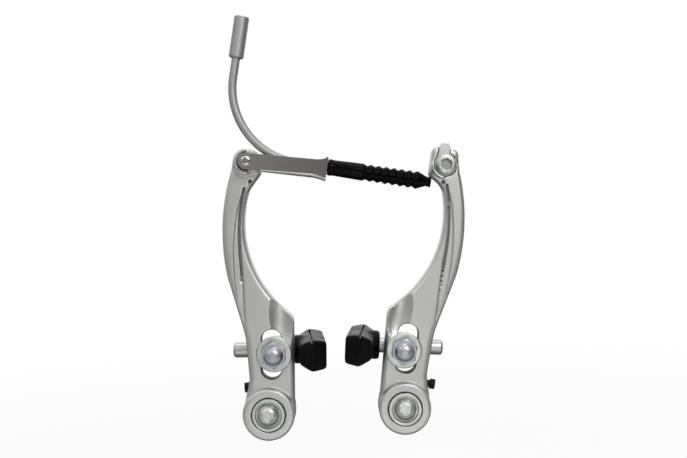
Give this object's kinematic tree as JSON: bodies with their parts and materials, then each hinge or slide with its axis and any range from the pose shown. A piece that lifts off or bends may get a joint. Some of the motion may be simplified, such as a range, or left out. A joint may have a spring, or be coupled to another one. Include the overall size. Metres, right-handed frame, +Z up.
{
  "type": "linear-pull rim brake",
  "caption": "Bicycle linear-pull rim brake: cast arms on pivot bushes, smooth-post brake shoes clamped in slots, and a bent cable guide with a ribbed rubber boot.",
  "frame": {"origin": "left pivot axis, in the plane where the left bush seats on the bicycle's boss", "axes": "+X to the right pivot as seen from the front, +Y back towards the bicycle along the pivots, +Z up"},
  "size_m": [0.1055, 0.0519, 0.1823],
  "materials": {
    "cast_aluminium": "polished casting",
    "zinc_steel": "zinc plated",
    "bush_steel": "plain, greased",
    "carrier_steel": "polished sheet",
    "tube_aluminium": "satin",
    "spring_steel": "drawn wire",
    "black_screw": "black oxide",
    "black_plastic": "moulded",
    "liner_plastic": "smooth",
    "block_rubber": "matte moulded",
    "boot_rubber": "glossy moulded"
  },
  "bodies": {
    "left_mount": {"left_pivot_bush": "bush_steel", "left_bolt_washer": "zinc_steel", "left_mounting_bolt": "zinc_steel", "left_spring_holder": "black_plastic", "left_return_spring": "spring_steel"},
    "right_mount": {"right_pivot_bush": "bush_steel", "right_bolt_washer": "zinc_steel", "right_mounting_bolt": "zinc_steel", "right_spring_holder": "black_plastic", "right_return_spring": "spring_steel"},
    "left_arm": {"left_arm": "cast_aluminium", "left_spring_pin": "zinc_steel", "carrier_rivet": "carrier_steel"},
    "right_arm": {"right_arm": "cast_aluminium", "right_spring_pin": "zinc_steel", "cable_clamp_washer": "zinc_steel", "cable_anchor_bolt": "zinc_steel"},
    "cable_guide": {"guide_carrier": "carrier_steel", "guide_tube": "tube_aluminium", "tube_liner": "liner_plastic", "tube_ferrule": "tube_aluminium", "rubber_boot": "boot_rubber"},
    "left_clamp": {"left_rear_washer": "zinc_steel", "left_front_washer": "zinc_steel", "left_cap_nut": "zinc_steel"},
    "left_eye": {"left_eye_bolt": "zinc_steel"},
    "left_shoe": {"left_shoe_post": "zinc_steel", "left_brake_block": "block_rubber"},
    "left_screw": {"left_tension_screw": "black_screw"},
    "right_clamp": {"right_rear_washer": "zinc_steel", "right_front_washer": "zinc_steel", "right_cap_nut": "zinc_steel"},
    "right_eye": {"right_eye_bolt": "zinc_steel"},
    "right_shoe": {"right_shoe_post": "zinc_steel", "right_brake_block": "block_rubber"},
    "right_screw": {"right_tension_screw": "black_screw"}
  },
  "joints": [
    {"name": "boss_spacing", "type": "slide", "parent": "left_mount", "child": "right_mount", "axis": [1, 0, 0], "range_m": [0, 0.0215]},
    {"name": "left_arm_pivot", "type": "hinge", "parent": "left_mount", "child": "left_arm", "pos_m": [0, 0, 0], "axis": [0, -1, 0], "range_deg": [-5, 20], "stiffness_Nm_per_rad": 2.5, "deforming": ["left_return_spring"]},
    {"name": "left_shoe_height", "type": "slide", "parent": "left_arm", "child": "left_clamp", "axis": [0.0384, 0, 0.9993], "range_m": [-0.0053, 0.0051]},
    {"name": "left_shoe_angle", "type": "hinge", "parent": "left_clamp", "child": "left_eye", "pos_m": [0.00336, -0.0066, 0.02574], "axis": [0, 1, 0], "range_deg": [-6, 6]},
    {"name": "left_shoe_reach", "type": "slide", "parent": "left_eye", "child": "left_shoe", "axis": [0.9995, 0, -0.0314], "range_m": [-0.0005, 0.004]},
    {"name": "left_tension_screw_travel", "type": "slide", "parent": "left_arm", "child": "left_screw", "axis": [-0.9988, 0, -0.0489], "range_m": [0, 0.0025]},
    {"name": "right_arm_pivot", "type": "hinge", "parent": "right_mount", "child": "right_arm", "pos_m": [0.0587, 0, 0], "axis": [0, 1, 0], "range_deg": [-5, 20], "stiffness_Nm_per_rad": 2.5, "deforming": ["right_return_spring"]},
    {"name": "right_shoe_height", "type": "slide", "parent": "right_arm", "child": "right_clamp", "axis": [0.1253, 0, 0.9921], "range_m": [-0.0042, 0.0062]},
    {"name": "right_shoe_angle", "type": "hinge", "parent": "right_clamp", "child": "right_eye", "pos_m": [0.05935, -0.0066, 0.02491], "axis": [0, 1, 0], "range_deg": [-6, 6]},
    {"name": "right_shoe_reach", "type": "slide", "parent": "right_eye", "child": "right_shoe", "axis": [-0.9965, 0, 0.0837], "range_m": [-0.0032, 0.0025]},
    {"name": "right_tension_screw_travel", "type": "slide", "parent": "right_arm", "child": "right_screw", "axis": [0.9774, 0, -0.2113], "range_m": [-0.0016, 0.0009]},
    {"name": "guide_pivot", "type": "hinge", "parent": "left_arm", "child": "cable_guide", "pos_m": [-0.00463, -0.0275, 0.109], "axis": [0, -1, 0], "range_deg": [-15, 35]}
  ]
}
